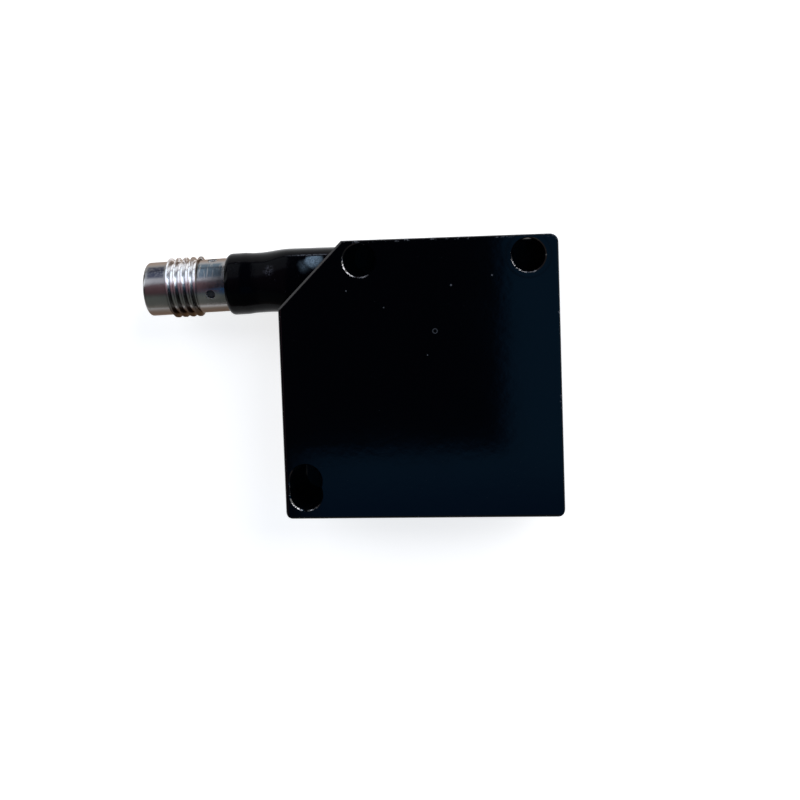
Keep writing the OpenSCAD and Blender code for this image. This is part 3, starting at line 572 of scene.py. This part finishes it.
# lit is the band on the +y side, above the axis, where the window's highlight falls on the plug.
lit = nickel.step(side, 0.9, 1.5) * nickel.step(nickel.z, 6.2, 7)
lit = lit * (1 - nickel.step(side, 2.75, 3.05))
# In that band the front mouth and the rear sleeve get painted shade: a darker, bluish base, broken by
# blotches and streaks, that dims the highlight there.
mouth = nickel.step(out_x, 18.6, 19.0) * (1 - nickel.step(out_x, 20.8, 21.3))
mouth = mouth * nickel.step(side, 1.3, 1.75) * lit * (0.35 + 0.65 * nickel.step(blotch, 0.32, 0.5))
rear = 1 - nickel.step(out_x, 14.2, 14.5)
sleeve = rear * nickel.step(out_x, 11.05, 11.2) * lit * (1 - 0.75 * nickel.step(streaks, 0.54, 0.62))
wound = nickel.step(out_x, 14.45, 14.55) * (1 - nickel.step(out_x, 18.45, 18.55))
metal = nickel.mix(tarnish, (0.17, 0.17, 0.17), (0.27, 0.265, 0.26))
metal = nickel.mix(rear, metal, nickel.mix(tarnish, (0.26, 0.26, 0.26), (0.36, 0.355, 0.35)))
# Painted highlight: the thread gets a nearly white base on its +y half and stays dark towards -y.
metal = nickel.mix(wound * nickel.step(side, -1.2, 1.2), metal, (0.85, 0.86, 0.88))
# Painted reflection: the +y flank is tinted brown-grey and the -y flank a darker brown, in place of a brown
# surface seen in them. On the thread the -y flank is darker still, a painted shade.
far_edge = nickel.step(side, 2.9, 3.3) * (1 - wound * nickel.step(streaks, 0.5, 0.56))
metal = nickel.mix(far_edge, metal, (0.31, 0.27, 0.245))
metal = nickel.mix(nickel.step(-1 * side, 2.3, 2.9), metal, (0.125, 0.1, 0.085))
metal = nickel.mix(nickel.step(-1 * side, 2.3, 3.0) * wound, metal, (0.05, 0.037, 0.03))
# Painted shade in the lit band of the mouth and of the sleeve.
metal = nickel.mix(mouth, metal, (0.045, 0.048, 0.068))
metal = nickel.mix(sleeve, metal, (0.11, 0.145, 0.175))
# Painted glint: the bores of the lock holes get a much brighter base than the rest of the plug, so that a
# glint shows inside them.
reach = (side ** 2 + (nickel.z - axis_z) ** 2) ** 0.5
walls = nickel.step(reach, 2.95, 3.0) * (1 - nickel.step(reach, 3.38, 3.44))
walls = walls * (1 - nickel.step(out_x, 13.6, 13.8))
nickel.vary("Base Color", nickel.mix(walls, metal, (0.9, 0.9, 0.9)))
rings = nickel.noise(0.05, 1, 0.5, nickel.stretched((1, 0.03, 0.03)))
nickel.vary("Roughness", 0.1 + tarnish * 0.12 + blotch * 0.1 + walls * 0.3)
nickel.vary("Normal", nickel.bump(rings * 0.12 + blotch, 0.006))
for piece, name in ((shell, "plug_shell"), (ridge, "plug_thread")):
    placed(piece, along_plug)
    bpy.ops.object.shade_smooth_by_angle(angle=math.radians(28))
    piece.name = name
    piece.data.materials.clear()
    piece.data.materials.append(nickel.material)
    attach(piece, "root")
    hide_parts("plug_sleeve")

# Floor: a plain pale sheet under the sensor, and no part of it. It glows faintly in the open. Under the
# housing it is painted dark and does not glow, a painted shade that keeps the holes black.
fresh()
bpy.ops.mesh.primitive_plane_add(size=3, location=(0, 0, 0))
floor = bpy.context.object
floor.name = "floor"
sheet = Finish("pale_sheet", Metallic=0.0, Specular_IOR_Level=0.0)
corner = (sheet.y - sheet.x - cut_line) * math.sqrt(0.5) + half_body
# open_sheet is one outside the housing's outline. Inside that outline the sheet gets the painted shade.
open_sheet = sheet.step(abs(sheet.x).at_least(abs(sheet.y)).at_least(corner), 16.8, 17.4)
glow = sheet.mix(sheet.noise(60, 2), (0.75, 0.75, 0.745), (0.77, 0.77, 0.765))
sheet.vary("Emission Color", sheet.mix(open_sheet, (0, 0, 0), glow))
sheet.shader.inputs["Emission Strength"].default_value = 1.0
paper = sheet.mix(sheet.noise(40, 2), (0.6, 0.6, 0.59), (0.62, 0.62, 0.61))
sheet.vary("Base Color", sheet.mix(open_sheet, (0.1, 0.1, 0.1), paper))
sheet.vary("Roughness", 0.8 + sheet.noise(20, 2) * 0.1)
floor.data.materials.append(sheet.material)
